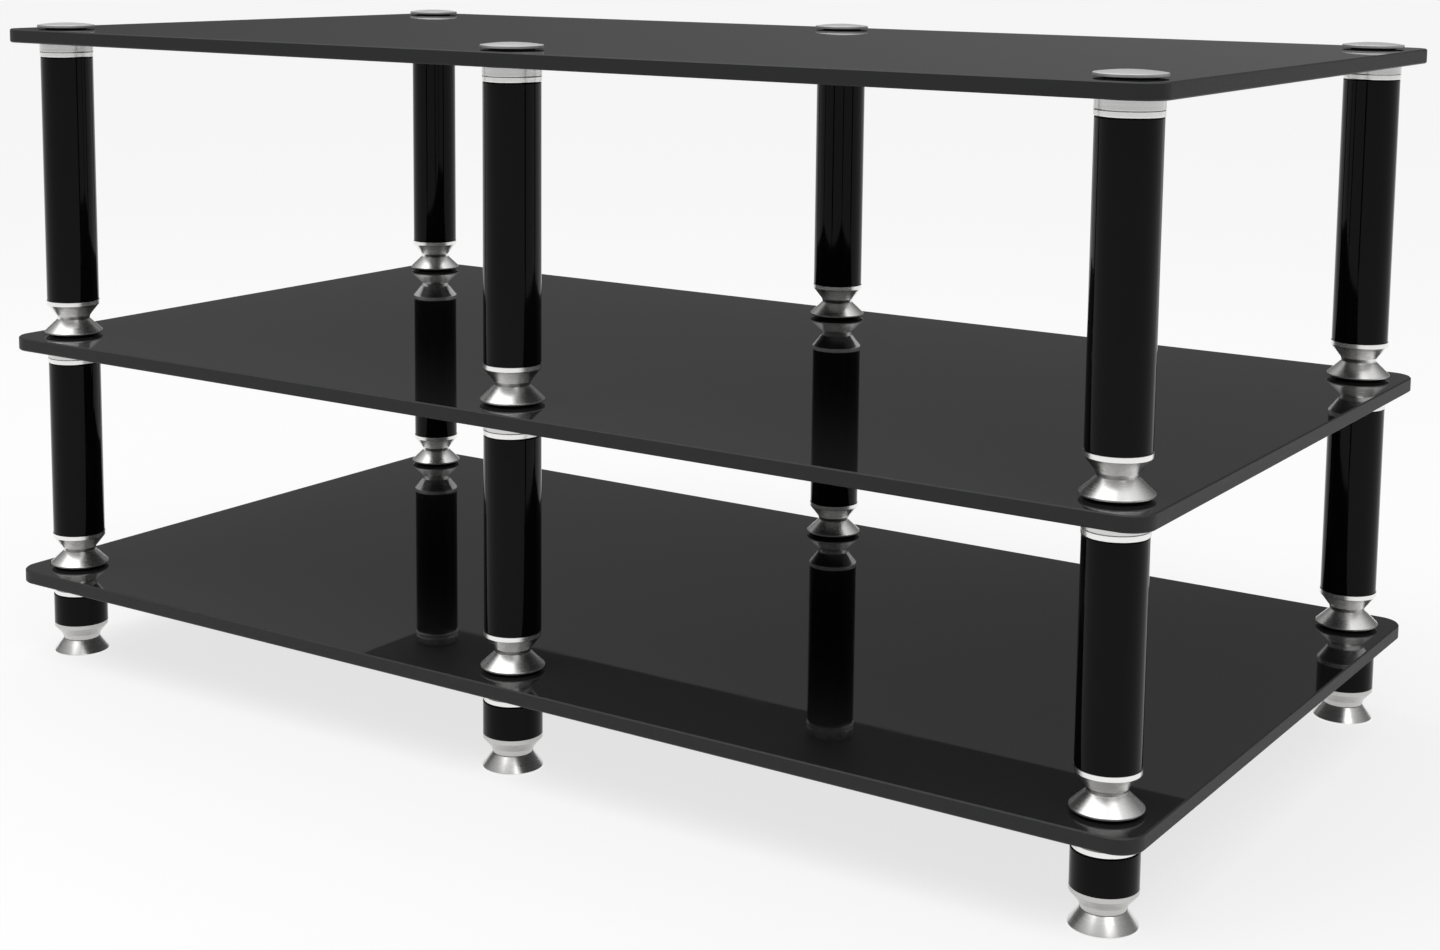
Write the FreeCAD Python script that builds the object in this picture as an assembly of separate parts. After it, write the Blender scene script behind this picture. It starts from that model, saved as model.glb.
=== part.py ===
import FreeCAD, Part
import os

# Three-tier AV stand: three glass shelves on six columns, in millimetres.
# The origin is on the floor under the middle of the stand, +X to the right, +Y to the back, +Z up.

V = FreeCAD.Vector
UP = V(0, 0, 1)

# Glass shelves
shelf_width = 1100.0
shelf_depth = 590.0
shelf_corner_radius = 20.0
glass_thickness = 12.0
glass_edge_bevel = 1.0
glass_hole_radius = 6.0

# Places of the columns, measured from the edges of the glass to the column axes
column_side_inset = 37.5
column_front_inset = 42.5

# Tubes of the columns
tube_radius = 23.0
tube_bore_radius = 21.0
tube_edge_radius = 1.0
upper_tube_length = 222.0
middle_tube_length = 160.0
lower_tube_radius = 24.0
lower_tube_length = 27.5

# Polished flange plug in the top of each tube, and the seat ring between it and the glass
plug_flange_radius = 23.4
plug_flange_height = 4.5
plug_spigot_length = 9.0
ring_radius = 23.4
ring_height = 7.5
ring_bore_radius = 4.6
collar_edge_radius = 0.6

# Rubber washers above and below the glass
washer_radius = 18.0
washer_thickness = 1.0
washer_bore_radius = 4.6

# Cup that stands on the glass
cup_height = 13.5
cup_foot_radius = 22.5
cup_widest_radius = 25.8
cup_foot_height = 1.6
cup_band_height = 1.2
cup_neck_radius = 14.4

# Spool at the lower end of an upper or middle tube
spool_height = 17.5
spool_neck_radius = 14.2
spool_waist_radius = 15.0
spool_waist_height = 3.4
spool_rim_radius = 23.4
spool_rim_height = 3.6
spool_spigot_length = 9.0
spool_edge_radius = 0.5

# Shorter spool at the lower end of each lower tube, which takes the foot's shank
foot_spool_height = 15.5
foot_spool_neck_radius = 16.0
foot_spool_bevel_radius = 17.4
foot_spool_neck_height = 4.4
foot_spool_rim_radius = 24.0
foot_spool_rim_height = 3.4
foot_spool_bore_radius = 4.1

# Threaded studs that pull the joints together, and the bores that they turn in
stud_radius = 4.0
stud_bore_radius = 4.05
stud_depth_in_spool = 17.0
stud_depth_in_plug = 11.0

# Levelling foot, with its height measured from the floor
foot_top_radius = 16.0
foot_widest_radius = 24.4
foot_height = 12.7
foot_seam = 0.3
foot_base_radius = 24.0
foot_band_height = 0.5
foot_shank_radius = 4.0
foot_shank_length = 26.0
foot_recess_radius = 19.1
foot_recess_depth = 2.1

# Glide pad in the underside of the foot
glide_radius = 19.0
glide_clearance = 0.1
glide_stand_out = 0.7
glide_edge_radius = 0.4

# Cap disc on top of the glass
cap_radius = 25.0
cap_edge_height = 2.4
cap_dome_rise = 1.9
cap_edge_radius = 0.5
cap_shank_radius = 4.0
cap_shank_length = 38.0

# Running clearance of a turned spigot in its tube
spigot_clearance = 0.05

# Heights of the seams, from the floor up
foot_bottom = glide_stand_out
foot_top = foot_height
foot_spool_bottom = foot_top + foot_seam
lower_tube_bottom = foot_spool_bottom + foot_spool_height
lower_tube_top = lower_tube_bottom + lower_tube_length
collar_height = plug_flange_height + ring_height + washer_thickness
base_height = washer_thickness + cup_height + spool_height
bottom_glass = lower_tube_top + collar_height
middle_tube_bottom = bottom_glass + glass_thickness + base_height
middle_tube_top = middle_tube_bottom + middle_tube_length
middle_glass = middle_tube_top + collar_height
upper_tube_bottom = middle_glass + glass_thickness + base_height
upper_tube_top = upper_tube_bottom + upper_tube_length
top_glass = upper_tube_top + collar_height
shelf_levels = (bottom_glass, middle_glass, top_glass)
tube_tops = (lower_tube_top, middle_tube_top, upper_tube_top)

# Places of the six column axes
column_x = shelf_width / 2 - column_side_inset
column_y = shelf_depth / 2 - column_front_inset
columns = {
    "front_left": (-column_x, -column_y),
    "front_middle": (0, -column_y),
    "front_right": (column_x, -column_y),
    "back_left": (-column_x, column_y),
    "back_middle": (0, column_y),
    "back_right": (column_x, column_y),
}


def turned(points):
    """Solid turned about the Z axis from a closed outline of radius and height pairs."""
    corners = [V(radius, 0, height) for radius, height in points]
    face = Part.Face(Part.makePolygon(corners + corners[:1]))
    return face.revolve(V(0, 0, 0), UP, 360)


def bored(solid, radius, bottom, top):
    """The solid with a round hole on the Z axis between two heights."""
    return solid.cut(Part.makeCylinder(radius, top - bottom, V(0, 0, bottom)))


def circle_edges(solid, radius, height, slack=tube_edge_radius / 20):
    """The full circles of one radius that lie at one height on a turned solid."""
    found = []
    for edge in solid.Edges:
        if edge.Degenerated or not isinstance(edge.Curve, Part.Circle):
            continue
        curve = edge.Curve
        if abs(curve.Radius - radius) < slack and abs(curve.Center.z - height) < slack:
            found.append(edge)
    return found


def shelf(bottom):
    """One sheet of glass with rounded corners, bevelled edges and a hole at each column."""
    plan = Part.makeBox(shelf_width, shelf_depth, glass_thickness,
                        V(-shelf_width / 2, -shelf_depth / 2, bottom))
    corners = [edge for edge in plan.Edges if abs(edge.tangentAt(edge.FirstParameter).z) > 1 / 2]
    sheet = plan.makeFillet(shelf_corner_radius, corners)
    rims = []
    for face in sheet.Faces:
        if abs(face.normalAt(0, 0).z) > 1 / 2:
            rims.extend(face.OuterWire.Edges)
    sheet = sheet.makeChamfer(glass_edge_bevel, rims)
    for x, y in columns.values():
        hole = Part.makeCylinder(glass_hole_radius, glass_thickness, V(x, y, bottom))
        sheet = sheet.cut(hole)
    return sheet


def tube(radius, length, bottom):
    """A drawn tube with its outer edges rounded over."""
    outer = Part.makeCylinder(radius, length, V(0, 0, bottom))
    ends = circle_edges(outer, radius, bottom) + circle_edges(outer, radius, bottom + length)
    outer = outer.makeFillet(tube_edge_radius, ends)
    return bored(outer, tube_bore_radius, bottom, bottom + length)


def plug(tube_top):
    """Turned plug with a polished flange on the tube's end and a spigot inside the tube."""
    spigot_radius = tube_bore_radius - spigot_clearance
    flange = Part.makeCylinder(plug_flange_radius, plug_flange_height, V(0, 0, tube_top))
    rims = circle_edges(flange, plug_flange_radius, tube_top)
    rims += circle_edges(flange, plug_flange_radius, tube_top + plug_flange_height)
    flange = flange.makeFillet(collar_edge_radius, rims)
    spigot = Part.makeCylinder(spigot_radius, plug_spigot_length,
                               V(0, 0, tube_top - plug_spigot_length))
    whole = flange.fuse(spigot)
    return bored(whole, stud_bore_radius, tube_top - plug_spigot_length,
                 tube_top + plug_flange_height)


def seat_ring(tube_top):
    """Turned ring between the plug's flange and the washer under the glass."""
    bottom = tube_top + plug_flange_height
    ring = Part.makeCylinder(ring_radius, ring_height, V(0, 0, bottom))
    rims = circle_edges(ring, ring_radius, bottom) + circle_edges(ring, ring_radius, bottom + ring_height)
    ring = ring.makeFillet(collar_edge_radius, rims)
    return bored(ring, ring_bore_radius, bottom, bottom + ring_height)


def washer(bottom):
    """Flat rubber washer."""
    disc = Part.makeCylinder(washer_radius, washer_thickness, V(0, 0, bottom))
    return bored(disc, washer_bore_radius, bottom, bottom + washer_thickness)


def cup(bottom):
    """Turned cup: bevelled in at its foot, widest just above it, sloping in to the neck."""
    band = bottom + cup_foot_height
    outline = [
        (stud_bore_radius, bottom),
        (cup_foot_radius, bottom),
        (cup_widest_radius, band),
        (cup_widest_radius, band + cup_band_height),
        (cup_neck_radius, bottom + cup_height),
        (stud_bore_radius, bottom + cup_height),
    ]
    body = turned(outline)
    rims = circle_edges(body, cup_widest_radius, band)
    rims += circle_edges(body, cup_widest_radius, band + cup_band_height)
    return body.makeFillet(cup_band_height / 3, rims)


def spool(bottom):
    """Turned spool: a neck that flares up to a rim, with a spigot up inside the tube."""
    top = bottom + spool_height
    spigot_radius = tube_bore_radius - spigot_clearance
    spigot_top = top + spool_spigot_length
    rim_bottom = top - spool_rim_height
    waist = bottom + spool_waist_height
    outline = [
        (0, bottom),
        (spool_neck_radius, bottom),
        (spool_waist_radius, waist),
        (spool_rim_radius, rim_bottom),
        (spool_rim_radius, top),
        (spigot_radius, top),
        (spigot_radius, spigot_top),
        (0, spigot_top),
    ]
    body = turned(outline)
    body = body.makeFillet(spool_edge_radius, circle_edges(body, spool_rim_radius, rim_bottom))
    return bored(body, stud_bore_radius, bottom, bottom + stud_depth_in_spool)


def foot_spool():
    """Short turned spool under each lower tube, threaded right through for the foot's shank."""
    bottom = foot_spool_bottom
    top = bottom + foot_spool_height
    spigot_radius = tube_bore_radius - spigot_clearance
    spigot_top = top + spool_spigot_length
    outline = [
        (foot_spool_bore_radius, bottom),
        (foot_spool_neck_radius, bottom),
        (foot_spool_bevel_radius, bottom + foot_spool_neck_height),
        (foot_spool_rim_radius, top - foot_spool_rim_height),
        (foot_spool_rim_radius, top),
        (spigot_radius, top),
        (spigot_radius, spigot_top),
        (foot_spool_bore_radius, spigot_top),
    ]
    body = turned(outline)
    rims = circle_edges(body, foot_spool_rim_radius, top - foot_spool_rim_height)
    return body.makeFillet(spool_edge_radius, rims)


def stud(spool_bottom, tube_top):
    """Stud from the spool above a shelf down into the plug below it."""
    bottom = tube_top + plug_flange_height - stud_depth_in_plug
    length = spool_bottom + stud_depth_in_spool - bottom
    return Part.makeCylinder(stud_radius, length, V(0, 0, bottom))


def foot():
    """Conical levelling foot with its shank, hollowed below for the glide pad."""
    outline = [
        (0, foot_bottom),
        (foot_base_radius, foot_bottom),
        (foot_widest_radius, foot_bottom + foot_band_height),
        (foot_widest_radius, foot_bottom + 2 * foot_band_height),
        (foot_top_radius, foot_top),
        (0, foot_top),
    ]
    body = turned(outline)
    shank = Part.makeCylinder(foot_shank_radius, foot_shank_length, V(0, 0, foot_top))
    body = body.fuse(shank)
    return bored(body, foot_recess_radius, foot_bottom, foot_bottom + foot_recess_depth)


def glide():
    """Hard rubber pad that stays still on the floor while the foot turns on it."""
    top = foot_bottom + foot_recess_depth - glide_clearance
    pad = Part.makeCylinder(glide_radius, top)
    return pad.makeFillet(glide_edge_radius, circle_edges(pad, glide_radius, 0))


def cap_disc():
    """Domed disc on the top glass with its shank down into the plug of the upper tube."""
    bottom = top_glass + glass_thickness + washer_thickness
    edge_top = bottom + cap_edge_height
    crown = edge_top + cap_dome_rise
    dome_radius = (cap_radius ** 2 + cap_dome_rise ** 2) / (2 * cap_dome_rise)
    blank = Part.makeCylinder(cap_radius, crown - bottom, V(0, 0, bottom))
    disc = blank.common(Part.makeSphere(dome_radius, V(0, 0, crown - dome_radius)))
    rims = circle_edges(disc, cap_radius, bottom) + circle_edges(disc, cap_radius, edge_top)
    disc = disc.makeFillet(cap_edge_radius, rims)
    shank = Part.makeCylinder(cap_shank_radius, cap_shank_length, V(0, 0, bottom - cap_shank_length))
    return disc.fuse(shank)


def placed(solid, place):
    """A copy of a column piece moved to its column."""
    copy = solid.copy()
    copy.translate(V(place[0], place[1], 0))
    return copy


def write(name, solids):
    """One node's file, from one solid or a group of separate solids."""
    shape = solids[0] if len(solids) == 1 else Part.makeCompound(solids)
    shape.exportStep("parts/" + name + ".step")


def write_shelves():
    for name, bottom in zip(("bottom_shelf", "middle_shelf", "top_shelf"), shelf_levels):
        write(name, [shelf(bottom)])


def write_column_pieces():
    """The pieces that have a node of their own on every column."""
    cup_levels = [level + glass_thickness + washer_thickness for level in shelf_levels]
    pieces = {
        "upper_tube": tube(tube_radius, upper_tube_length, upper_tube_bottom),
        "middle_tube": tube(tube_radius, middle_tube_length, middle_tube_bottom),
        "lower_tube": tube(lower_tube_radius, lower_tube_length, lower_tube_bottom),
        "lower_cup": cup(cup_levels[0]),
        "upper_cup": cup(cup_levels[1]),
        "cap_disc": cap_disc(),
        "foot": foot(),
        "foot_glide": glide(),
    }
    for piece, solid in pieces.items():
        for column, place in columns.items():
            write(piece + "_" + column, [placed(solid, place)])


def write_groups():
    """The alike pieces that share a node: one solid for each column and level."""
    spool_levels = [level + glass_thickness + washer_thickness + cup_height for level in shelf_levels]
    washers = []
    for level in shelf_levels:
        washers.append(washer(level - washer_thickness))
        washers.append(washer(level + glass_thickness))
    groups = {
        "foot_spools": [foot_spool()],
        "middle_spools": [spool(spool_levels[0])],
        "upper_spools": [spool(spool_levels[1])],
        "tube_plugs": [plug(top) for top in tube_tops],
        "seat_rings": [seat_ring(top) for top in tube_tops],
        "joint_studs": [stud(level, top) for level, top in zip(spool_levels[:2], tube_tops[:2])],
        "glass_washers": washers,
    }
    for name, solids in groups.items():
        write(name, [placed(solid, place) for place in columns.values() for solid in solids])


os.makedirs("parts", exist_ok=True)
write_shelves()
write_column_pieces()
write_groups()
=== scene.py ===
import math
import bmesh
import bpy
from mathutils import Matrix, Vector


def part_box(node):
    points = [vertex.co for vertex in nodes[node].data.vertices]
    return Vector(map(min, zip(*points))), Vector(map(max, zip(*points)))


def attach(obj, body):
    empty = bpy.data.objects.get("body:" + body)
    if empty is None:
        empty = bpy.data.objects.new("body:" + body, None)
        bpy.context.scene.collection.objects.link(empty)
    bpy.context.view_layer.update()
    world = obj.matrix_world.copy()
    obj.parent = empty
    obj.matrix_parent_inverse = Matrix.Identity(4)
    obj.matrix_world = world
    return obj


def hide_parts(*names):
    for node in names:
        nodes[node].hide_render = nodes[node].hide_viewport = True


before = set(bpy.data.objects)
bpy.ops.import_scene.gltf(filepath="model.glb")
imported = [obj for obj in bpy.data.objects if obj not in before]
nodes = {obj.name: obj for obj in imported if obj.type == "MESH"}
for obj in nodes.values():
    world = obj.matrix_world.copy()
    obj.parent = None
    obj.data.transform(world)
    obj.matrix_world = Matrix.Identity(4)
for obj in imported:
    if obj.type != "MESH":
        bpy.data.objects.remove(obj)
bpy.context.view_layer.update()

# Camera: in front of the stand and to its right, a little above the top glass, looking slightly
# down through a moderately long lens. The shift only sets the photograph's framing.
camera_data = bpy.data.cameras.new("camera")
camera_data.sensor_width = 36.0
camera_data.lens = 56.22
camera_data.shift_x = 0.0136
camera_data.shift_y = -0.1773
camera_data.clip_start = 0.05
camera_data.clip_end = 300.0
camera = bpy.data.objects.new("camera", camera_data)
bpy.context.scene.collection.objects.link(camera)
turn = Matrix.Rotation(math.radians(33.842), 4, "Z")
tilt = Matrix.Rotation(math.radians(82.745), 4, "X")
roll = Matrix.Rotation(math.radians(0.527), 4, "Z")
camera.matrix_world = Matrix.Translation((1.0939, -1.6196, 0.6671)) @ turn @ tilt @ roll
bpy.context.scene.camera = camera


def new_group(name, inputs, outputs):
    """An empty shader node group with float inputs and outputs, and its two end nodes."""
    group = bpy.data.node_groups.new(name, "ShaderNodeTree")
    for label, value in inputs.items():
        socket = group.interface.new_socket(label, in_out="INPUT", socket_type="NodeSocketFloat")
        socket.default_value = value
    for label in outputs:
        group.interface.new_socket(label, in_out="OUTPUT", socket_type="NodeSocketFloat")
    return group, group.nodes.new("NodeGroupInput"), group.nodes.new("NodeGroupOutput")


def add_node(tree, kind, settings=None, **inputs):
    """A shader node with its settings, and its inputs set to values or linked to sockets."""
    node = tree.nodes.new(kind)
    for label, value in (settings or {}).items():
        setattr(node, label, value)
    for label, value in inputs.items():
        key = int(label[1:]) if label[0] == "i" and label[1:].isdigit() else label.replace("_", " ")
        if isinstance(value, bpy.types.NodeSocket):
            tree.links.new(value, node.inputs[key])
        else:
            node.inputs[key].default_value = value
    return node


def calculate(tree, operation, first, second=0.0, third=0.0):
    """The result socket of a Math node."""
    node = add_node(tree, "ShaderNodeMath", {"operation": operation}, i0=first, i1=second, i2=third)
    return node.outputs[0]


def new_material(name):
    """A node material with its Principled shader."""
    material = bpy.data.materials.new(name)
    material.use_nodes = True
    return material.node_tree, material.node_tree.nodes["Principled BSDF"], material


def finish_nodes(material, *names):
    """Gives the named CAD nodes a finish in place of the one they came with."""
    for name in names:
        mesh = nodes[name].data
        mesh.materials.clear()
        mesh.materials.append(material)


def build_smears():
    """Group for faint smears and specks that a wiped gloss surface keeps, on Object coordinates."""
    group, given, out = new_group("Smears", {"Size": 9.0, "Amount": 0.5}, ["Haze", "Dust"])
    place = add_node(group, "ShaderNodeTexCoord").outputs["Object"]
    wipe = add_node(group, "ShaderNodeMapping", Vector=place, Scale=(1.0, 2.6, 1.0),
                    Rotation=(0.0, 0.0, 0.35))
    wide = add_node(group, "ShaderNodeTexNoise", Vector=wipe.outputs[0], Scale=given.outputs["Size"],
                    Detail=4.0, Roughness=0.62, Distortion=0.7)
    faint = add_node(group, "ShaderNodeMapRange", {"interpolation_type": "SMOOTHSTEP"},
                     Value=wide.outputs["Fac"], From_Min=0.48, From_Max=0.78)
    haze = calculate(group, "MULTIPLY", faint.outputs[0], given.outputs["Amount"])
    group.links.new(haze, out.inputs["Haze"])
    specks = add_node(group, "ShaderNodeTexVoronoi", Vector=place, Scale=420.0)
    near = add_node(group, "ShaderNodeMapRange", Value=specks.outputs["Distance"],
                    From_Min=0.10, From_Max=0.03)
    patches = add_node(group, "ShaderNodeTexNoise", Vector=place, Scale=31.0, Detail=2.0)
    where = add_node(group, "ShaderNodeMapRange", Value=patches.outputs["Fac"],
                     From_Min=0.55, From_Max=0.75)
    dust = calculate(group, "MULTIPLY", near.outputs[0], where.outputs[0])
    dust = calculate(group, "MULTIPLY", dust, given.outputs["Amount"])
    group.links.new(dust, out.inputs["Dust"])
    return group


clean_glass, smeared_glass = 0.022, 0.05
ground_edge, grinding_marks = 0.48, 0.16
frosted_arris, matt_paint = 0.5, 0.65
flat_face, chamfer = 0.9, 0.3
float_wave = 0.00002

smears = build_smears()
tree, gloss, black_glass = new_material("black_glass")
marks = add_node(tree, "ShaderNodeGroup", {"node_tree": smears}, Size=7.0, Amount=0.6)
place = add_node(tree, "ShaderNodeTexCoord").outputs["Object"]
grind = add_node(tree, "ShaderNodeTexNoise", Vector=place, Scale=260.0, Detail=3.0, Roughness=0.6)
facing = add_node(tree, "ShaderNodeNewGeometry").outputs["True Normal"]
rise = add_node(tree, "ShaderNodeSeparateXYZ", Vector=facing).outputs["Z"]
slope = calculate(tree, "ABSOLUTE", rise)
edge = calculate(tree, "LESS_THAN", slope, flat_face)
arris = calculate(tree, "MULTIPLY", edge, calculate(tree, "GREATER_THAN", slope, chamfer))
painted = calculate(tree, "LESS_THAN", rise, -flat_face)
sheet = add_node(tree, "ShaderNodeMix", {"data_type": "RGBA"}, Factor=marks.outputs["Dust"],
                 i6=(0.0160, 0.0162, 0.0165, 1.0), i7=(0.10, 0.10, 0.10, 1.0))
side = add_node(tree, "ShaderNodeMix", {"data_type": "RGBA"}, Factor=grind.outputs["Fac"],
                i6=(0.0020, 0.0024, 0.0023, 1.0), i7=(0.0045, 0.0050, 0.0048, 1.0))
frost = add_node(tree, "ShaderNodeMix", {"data_type": "RGBA"}, Factor=grind.outputs["Fac"],
                 i6=(0.014, 0.015, 0.015, 1.0), i7=(0.032, 0.033, 0.033, 1.0))
colour = add_node(tree, "ShaderNodeMix", {"data_type": "RGBA"}, Factor=edge,
                  i6=sheet.outputs[2], i7=side.outputs[2])
colour = add_node(tree, "ShaderNodeMix", {"data_type": "RGBA"}, Factor=arris,
                  i6=colour.outputs[2], i7=frost.outputs[2])
tree.links.new(colour.outputs[2], gloss.inputs["Base Color"])
haze = calculate(tree, "MULTIPLY_ADD", marks.outputs["Haze"], smeared_glass, clean_glass)
satin = calculate(tree, "MULTIPLY_ADD", grind.outputs["Fac"], grinding_marks, ground_edge)
rough = add_node(tree, "ShaderNodeMix", Factor=edge, i2=haze, i3=satin)
rough = add_node(tree, "ShaderNodeMix", Factor=arris, i2=rough.outputs[0], i3=frosted_arris)
rough = add_node(tree, "ShaderNodeMix", Factor=painted, i2=rough.outputs[0], i3=matt_paint)
tree.links.new(rough.outputs[0], gloss.inputs["Roughness"])
swim = add_node(tree, "ShaderNodeTexNoise", Vector=place, Scale=11.0, Detail=1.0)
wave = add_node(tree, "ShaderNodeBump", Strength=1.0, Distance=float_wave, Height=swim.outputs["Fac"])
tree.links.new(wave.outputs[0], gloss.inputs["Normal"])
gloss.inputs["IOR"].default_value = 1.5
finish_nodes(black_glass, "bottom_shelf", "middle_shelf", "top_shelf")


# Tubes: drawn aluminium, six long, six shorter and six short ones under the bottom glass, all with
# the same gloss-black stoved finish, which has a faint orange peel and keeps a few smears.
columns = ("front_left", "front_middle", "front_right", "back_left", "back_middle", "back_right")
clean_lacquer, smeared_lacquer = 0.06, 0.08
orange_peel = 0.00002

tree, gloss, black_lacquer = new_material("black_lacquer")
marks = add_node(tree, "ShaderNodeGroup", {"node_tree": smears}, Size=16.0, Amount=0.5)
place = add_node(tree, "ShaderNodeTexCoord").outputs["Object"]
depth = add_node(tree, "ShaderNodeTexNoise", Vector=place, Scale=24.0, Detail=3.0)
colour = add_node(tree, "ShaderNodeMix", {"data_type": "RGBA"}, Factor=depth.outputs["Fac"],
                  i6=(0.0020, 0.0020, 0.0022, 1.0), i7=(0.0040, 0.0040, 0.0042, 1.0))
dusty = add_node(tree, "ShaderNodeMix", {"data_type": "RGBA"}, Factor=marks.outputs["Dust"],
                 i6=colour.outputs[2], i7=(0.08, 0.08, 0.08, 1.0))
tree.links.new(dusty.outputs[2], gloss.inputs["Base Color"])
haze = calculate(tree, "MULTIPLY_ADD", marks.outputs["Haze"], smeared_lacquer, clean_lacquer)
tree.links.new(haze, gloss.inputs["Roughness"])
peel = add_node(tree, "ShaderNodeTexNoise", Vector=place, Scale=520.0, Detail=1.0)
skin = add_node(tree, "ShaderNodeBump", Strength=0.35, Distance=orange_peel, Height=peel.outputs["Fac"])
tree.links.new(skin.outputs[0], gloss.inputs["Normal"])
gloss.inputs["IOR"].default_value = 1.5
gloss.inputs["Specular IOR Level"].default_value = 0.10
for tube in ("upper_tube", "middle_tube", "lower_tube"):
    finish_nodes(black_lacquer, *[tube + "_" + column for column in columns])


# Turned pieces: seat rings, plugs, spools, cups and cap discs, turned from aluminium bar. The cups,
# spools and plugs are polished, the rings left satin and the discs brushed as they spin. The short
# spools near the floor get a darker copy of the polished metal, as painted shade for the shadowed
# floor they mirror. The lathe leaves very fine rings round each axis.
column_spacing, row_offset = 0.5125, 0.2525
tool_pitch = 0.0004


def build_column_axis():
    """Group for the distance from, and the height along, whichever column axis is nearest."""
    group, given, out = new_group("Column axis", {}, ["Radius", "Height"])
    place = add_node(group, "ShaderNodeTexCoord").outputs["Object"]
    split = add_node(group, "ShaderNodeSeparateXYZ", Vector=place)
    across = calculate(group, "WRAP", split.outputs["X"], column_spacing / 2.0, -column_spacing / 2.0)
    depth = calculate(group, "ABSOLUTE", split.outputs["Y"])
    along = calculate(group, "SUBTRACT", depth, row_offset)
    square = calculate(group, "MULTIPLY_ADD", across, across, calculate(group, "MULTIPLY", along, along))
    group.links.new(calculate(group, "SQRT", square), out.inputs["Radius"])
    group.links.new(split.outputs["Z"], out.inputs["Height"])
    return group


def build_lathe_rings(axis):
    """Group for the rings that a lathe tool leaves, alike all the way round the axis."""
    group, given, out = new_group("Lathe rings", {"Pitch": tool_pitch}, ["Fine", "Broad"])
    centre = add_node(group, "ShaderNodeGroup", {"node_tree": axis})
    outline = add_node(group, "ShaderNodeCombineXYZ", X=centre.outputs["Radius"],
                       Y=centre.outputs["Height"])
    count = calculate(group, "DIVIDE", 1.0, given.outputs["Pitch"])
    fine = add_node(group, "ShaderNodeTexNoise", {"noise_dimensions": "2D"}, Vector=outline.outputs[0],
                    Scale=count, Detail=2.0, Roughness=0.7)
    group.links.new(fine.outputs["Fac"], out.inputs["Fine"])
    broad = add_node(group, "ShaderNodeTexNoise", {"noise_dimensions": "2D"}, Vector=outline.outputs[0],
                     Scale=calculate(group, "DIVIDE", count, 7.0), Detail=1.0)
    group.links.new(broad.outputs["Fac"], out.inputs["Broad"])
    return group


def turned_metal(name, colour, rough, ring_depth, lacquer):
    """Turned aluminium under thin clear lacquer, broken up by lathe rings and faint handling."""
    tree, metal, material = new_material(name)
    rings = add_node(tree, "ShaderNodeGroup", {"node_tree": lathe_rings}, Pitch=tool_pitch)
    marks = add_node(tree, "ShaderNodeGroup", {"node_tree": smears}, Size=60.0, Amount=0.35)
    darker = 0.90
    dark = tuple(channel * darker for channel in colour) + (1.0,)
    tone = add_node(tree, "ShaderNodeMix", {"data_type": "RGBA"}, Factor=rings.outputs["Broad"],
                    i6=dark, i7=colour + (1.0,))
    tree.links.new(tone.outputs[2], metal.inputs["Base Color"])
    worn = calculate(tree, "MULTIPLY_ADD", rings.outputs["Fine"], 0.06, rough)
    worn = calculate(tree, "MULTIPLY_ADD", marks.outputs["Haze"], 0.10, worn)
    tree.links.new(worn, metal.inputs["Roughness"])
    cut = add_node(tree, "ShaderNodeBump", Strength=0.5, Distance=ring_depth,
                   Height=rings.outputs["Fine"])
    tree.links.new(cut.outputs[0], metal.inputs["Normal"])
    metal.inputs["Metallic"].default_value = 1.0
    metal.inputs["Coat Weight"].default_value = lacquer
    metal.inputs["Coat Roughness"].default_value = 0.06
    metal.inputs["Coat IOR"].default_value = 1.5
    return material


lathe_rings = build_lathe_rings(build_column_axis())
polished_turned = turned_metal("polished_aluminium", (0.94, 0.935, 0.925), 0.25, 0.000006, 0.5)
satin_turned = turned_metal("satin_aluminium", (0.69, 0.69, 0.685), 0.24, 0.000008, 0.3)
brushed_disc = turned_metal("brushed_aluminium", (0.82, 0.82, 0.815), 0.50, 0.000010, 0.0)
# Painted shade: a darker, duller copy of the polished aluminium, for the short spools near the floor.
shade_darkened_turned = turned_metal("shade_darkened_aluminium", (0.62, 0.615, 0.605), 0.30, 0.000008, 0.3)
finish_nodes(satin_turned, "seat_rings")
finish_nodes(polished_turned, "tube_plugs", "middle_spools", "upper_spools")
# The short spools near the floor take the painted-shade copy of the polished aluminium.
finish_nodes(shade_darkened_turned, "foot_spools")
for piece in ("lower_cup", "upper_cup"):
    finish_nodes(polished_turned, *[piece + "_" + column for column in columns])
finish_nodes(brushed_disc, *["cap_disc_" + column for column in columns])


# Studs and washers: zinc-plated M8 studs inside the joints, and the thin black rubber washers that
# keep the metal off the glass. Only the washers' rims can be seen.
tree, metal, zinc_plate = new_material("zinc_plate")
place = add_node(tree, "ShaderNodeTexCoord").outputs["Object"]
blotch = add_node(tree, "ShaderNodeTexNoise", Vector=place, Scale=240.0, Detail=4.0)
tone = add_node(tree, "ShaderNodeMix", {"data_type": "RGBA"}, Factor=blotch.outputs["Fac"],
                i6=(0.44, 0.45, 0.47, 1.0), i7=(0.62, 0.62, 0.60, 1.0))
tree.links.new(tone.outputs[2], metal.inputs["Base Color"])
worn = calculate(tree, "MULTIPLY_ADD", blotch.outputs["Fac"], 0.2, 0.25)
tree.links.new(worn, metal.inputs["Roughness"])
metal.inputs["Metallic"].default_value = 1.0
finish_nodes(zinc_plate, "joint_studs")

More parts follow.
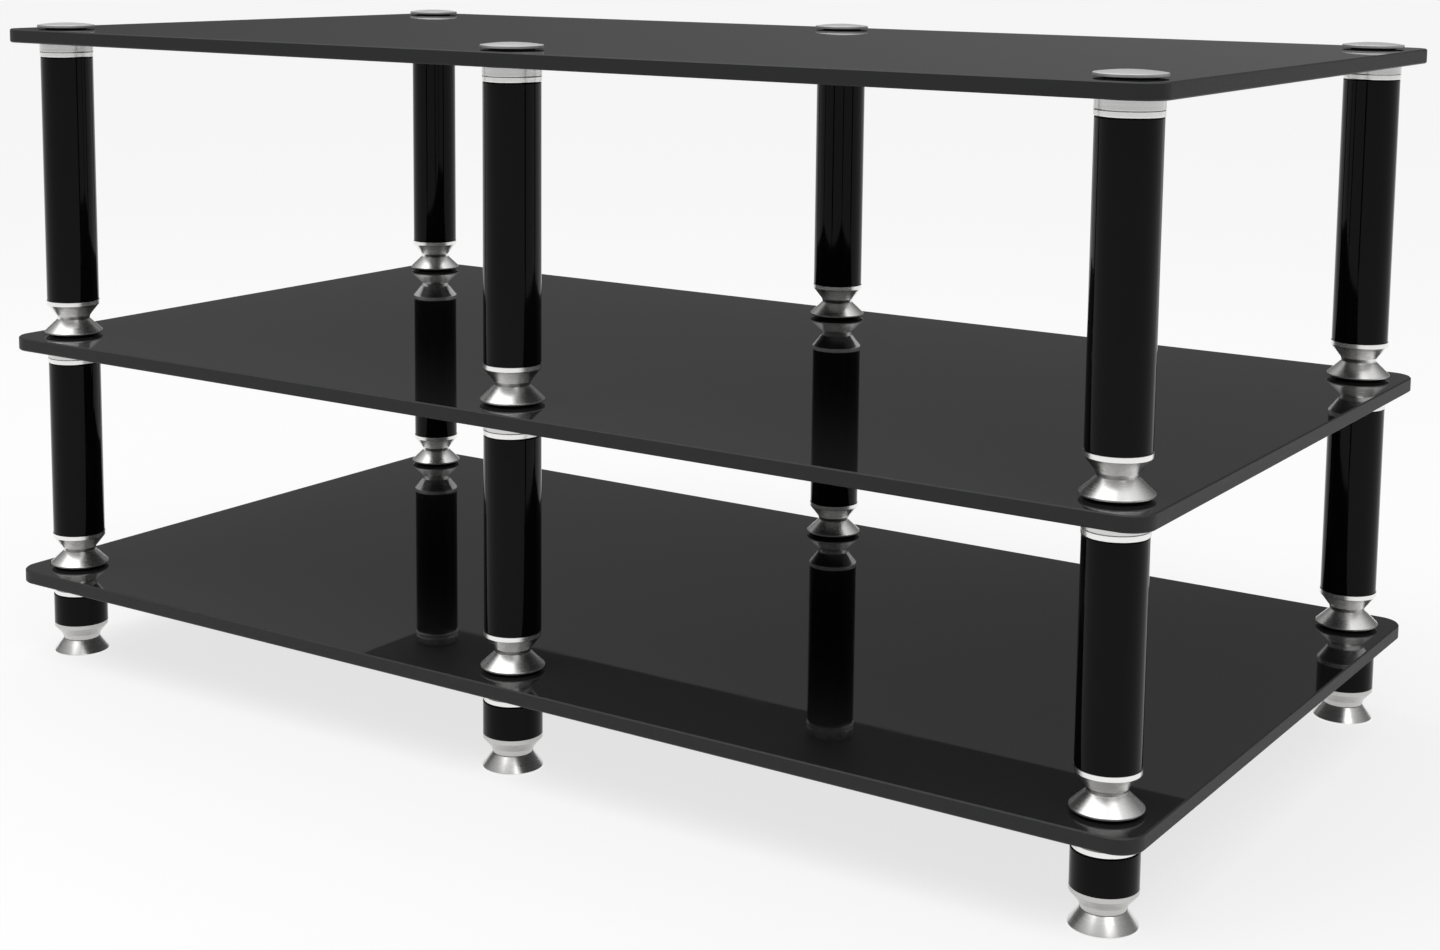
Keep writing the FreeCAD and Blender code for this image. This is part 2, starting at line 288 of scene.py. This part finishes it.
tree, rubber, black_rubber = new_material("black_rubber")
place = add_node(tree, "ShaderNodeTexCoord").outputs["Object"]
grain = add_node(tree, "ShaderNodeTexNoise", Vector=place, Scale=900.0, Detail=3.0)
tone = add_node(tree, "ShaderNodeMix", {"data_type": "RGBA"}, Factor=grain.outputs["Fac"],
                i6=(0.018, 0.018, 0.018, 1.0), i7=(0.040, 0.040, 0.039, 1.0))
tree.links.new(tone.outputs[2], rubber.inputs["Base Color"])
matt = calculate(tree, "MULTIPLY_ADD", grain.outputs["Fac"], 0.2, 0.55)
tree.links.new(matt, rubber.inputs["Roughness"])
nap = add_node(tree, "ShaderNodeBump", Strength=0.5, Distance=0.00003, Height=grain.outputs["Fac"])
tree.links.new(nap.outputs[0], rubber.inputs["Normal"])
finish_nodes(black_rubber, "glass_washers")


# Levelling feet: six conical feet turned from aluminium bar, each on a cut thread that screws in and
# out of the spool above it, and each standing on a hard rubber glide in its underside.
cone_outline = [(0.02423, 0.00192), (0.0162, 0.01244)]
band_outline = [(0.0240, 0.0007), (0.0243, 0.0011), (0.0244, 0.0013), (0.0244, 0.0016)]
glide_pocket = [(0.0, 0.0028), (0.0189, 0.0028), (0.0191, 0.0026), (0.0191, 0.0007)]
flat_top = [(0.0157, 0.0127), (0.0040, 0.0127)]
thread_seat = [(0.0032, 0.0122), (0.0032, 0.0141), (0.0, 0.0141)]
thread_crest, thread_root, thread_pitch = 0.0039, 0.0033, 0.00125
thread_bottom, thread_top = 0.0140, 0.0387
foot_facets, thread_facets = 96, 32
sharp_edge = math.radians(24.0)


def add_turned(mesh, outline, steps):
    """Spins an outline of radius and height pairs about Z into a closed skin."""
    corners = [mesh.verts.new((radius, 0.0, height)) for radius, height in outline]
    lines = [mesh.edges.new(pair) for pair in zip(corners, corners[1:])]
    bmesh.ops.spin(mesh, geom=corners + lines, cent=(0, 0, 0), axis=(0, 0, 1),
                   angle=2.0 * math.pi, steps=steps, use_merge=True)


def add_thread(mesh, crest, root, pitch, bottom, top, steps):
    """Winds a thread up Z from its outline over one pitch, and cuts both its ends flat."""
    turns = math.ceil((top - bottom) / pitch) + 2
    outline = [(root, 0.0), (root, 0.12), (crest, 0.50), (crest, 0.62), (root, 1.0)]
    start = bottom - pitch
    corners = [mesh.verts.new((radius, 0.0, start + share * pitch)) for radius, share in outline]
    lines = [mesh.edges.new(pair) for pair in zip(corners, corners[1:])]
    bmesh.ops.spin(mesh, geom=corners + lines, cent=(0, 0, 0), axis=(0, 0, 1),
                   dvec=(0, 0, pitch / steps), angle=2.0 * math.pi * turns, steps=steps * turns)
    bmesh.ops.remove_doubles(mesh, verts=mesh.verts, dist=pitch / 100.0)
    for height, way in ((bottom, -1), (top, 1)):
        cut = bmesh.ops.bisect_plane(mesh, geom=mesh.verts[:] + mesh.edges[:] + mesh.faces[:],
                                     plane_co=(0, 0, height), plane_no=(0, 0, way), clear_outer=True)
        rim = [item for item in cut["geom_cut"] if isinstance(item, bmesh.types.BMEdge)]
        bmesh.ops.triangle_fill(mesh, edges=rim, use_beauty=True)


def build_foot(name, axis, material):
    """One foot at its column, as one mesh of the conical body and the threaded shank."""
    outline = glide_pocket + band_outline + cone_outline + flat_top + thread_seat
    mesh = bmesh.new()
    add_thread(mesh, thread_crest, thread_root, thread_pitch, thread_bottom, thread_top, thread_facets)
    add_turned(mesh, outline, foot_facets)
    bmesh.ops.remove_doubles(mesh, verts=mesh.verts, dist=0.00001)
    bmesh.ops.recalc_face_normals(mesh, faces=mesh.faces)
    bmesh.ops.translate(mesh, verts=mesh.verts, vec=(axis[0], axis[1], 0.0))
    data = bpy.data.meshes.new(name)
    mesh.to_mesh(data)
    mesh.free()
    data.materials.append(material)
    data.shade_smooth()
    data.set_sharp_from_angle(angle=sharp_edge)
    piece = bpy.data.objects.new(name, data)
    bpy.context.scene.collection.objects.link(piece)
    return piece


for column in columns:
    low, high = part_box("foot_" + column)
    axis = ((low[0] + high[0]) / 2.0, (low[1] + high[1]) / 2.0)
    foot = build_foot("levelling_foot_" + column, axis, polished_turned)
    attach(foot, column + "_foot")
    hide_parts("foot_" + column)
finish_nodes(black_rubber, *["foot_glide_" + column for column in columns])


# Floor and light: a pale studio floor that runs out of sight, grey walls all round that are a little
# lighter low down on the right, a white ceiling, and soft lamps above and in front. The floor glows
# for the camera and for metal and glass alike, and keeps the stand's shadow.
floor_radius, floor_glow, floor_grey = 90.0, 0.75, 0.26

mesh = bmesh.new()
bmesh.ops.create_circle(mesh, cap_ends=True, radius=floor_radius, segments=96)
floor_data = bpy.data.meshes.new("floor")
mesh.to_mesh(floor_data)
mesh.free()
floor = bpy.data.objects.new("floor", floor_data)
bpy.context.scene.collection.objects.link(floor)
paper = bpy.data.materials.new("pale_floor")
paper.use_nodes = True
tree = paper.node_tree
tree.nodes.clear()
ray = tree.nodes.new("ShaderNodeLightPath")
seen = calculate(tree, "MAXIMUM", ray.outputs["Is Camera Ray"], ray.outputs["Is Glossy Ray"])
seen = calculate(tree, "MAXIMUM", seen, ray.outputs["Is Transmission Ray"])
glow = add_node(tree, "ShaderNodeEmission", Color=(1.0, 1.0, 1.0, 1.0),
                Strength=calculate(tree, "MULTIPLY", seen, floor_glow))
matt = add_node(tree, "ShaderNodeBsdfDiffuse", Color=(floor_grey, floor_grey, floor_grey, 1.0))
both = add_node(tree, "ShaderNodeAddShader", i0=matt.outputs[0], i1=glow.outputs[0])
add_node(tree, "ShaderNodeOutputMaterial", Surface=both.outputs[0])
floor_data.materials.append(paper)

wall_foot, wall_rise = 0.097, 0.25
ceiling_rise, ceiling_white = 1.2, 0.75
left_wall, right_wall, lean_most = -0.80, -0.26, 0.30
low_gain, gain_fall, high_loss = 0.15, -0.9, -0.11

world = bpy.data.worlds.new("studio")
world.use_nodes = True
tree = world.node_tree
direction = tree.nodes.new("ShaderNodeTexCoord").outputs["Generated"]
height = add_node(tree, "ShaderNodeSeparateXYZ", Vector=direction)
lift = calculate(tree, "MAXIMUM", height.outputs["Z"], 0.0)
wall = calculate(tree, "MULTIPLY_ADD", lift, wall_rise, wall_foot)
lean = add_node(tree, "ShaderNodeMapRange", Value=height.outputs["X"], From_Min=left_wall,
                From_Max=right_wall, To_Min=-lean_most, To_Max=lean_most)
fade = calculate(tree, "MULTIPLY_ADD", lift, gain_fall, low_gain)
fade = calculate(tree, "MAXIMUM", fade, high_loss)
wall = calculate(tree, "MULTIPLY_ADD", lean.outputs[0], fade, wall)
shade = calculate(tree, "MULTIPLY_ADD", calculate(tree, "POWER", lift, 4.0), ceiling_rise, wall)
shade = calculate(tree, "MINIMUM", shade, ceiling_white)
tree.links.new(shade, tree.nodes["Background"].inputs["Color"])
bpy.context.scene.world = world


def add_softbox(name, size, radiance, place):
    """A rectangular softbox of a given brightness that faces the middle of the stand."""
    light = bpy.data.lights.new(name, "AREA")
    light.shape = "RECTANGLE"
    light.size, light.size_y = size
    light.energy = radiance * math.pi * size[0] * size[1]
    lamp = bpy.data.objects.new(name, light)
    bpy.context.scene.collection.objects.link(lamp)
    lamp.location = place
    back = (lamp.location - Vector((0.0, 0.0, 0.3))).normalized()
    lamp.rotation_mode = "QUATERNION"
    lamp.rotation_quaternion = back.to_track_quat("Z", "Y")


add_softbox("overhead_softbox", (2.4, 1.2), 0.7, (0.0, 0.6, 2.6))
add_softbox("left_softbox", (2.6, 2.2), 1.08, (-0.7, -0.9, 2.5))
add_softbox("right_softbox", (1.4, 1.4), 1.6, (1.9, -1.1, 2.4))
daylight = bpy.data.lights.new("sky_light", "SUN")
daylight.energy = 0.15 * math.pi
daylight.angle = math.radians(50.0)
sky = bpy.data.objects.new("sky_light", daylight)
bpy.context.scene.collection.objects.link(sky)
sky.rotation_euler = (math.radians(18.0), math.radians(-14.0), 0.0)
sky.visible_glossy = False

bpy.context.scene.view_settings.view_transform = "Standard"
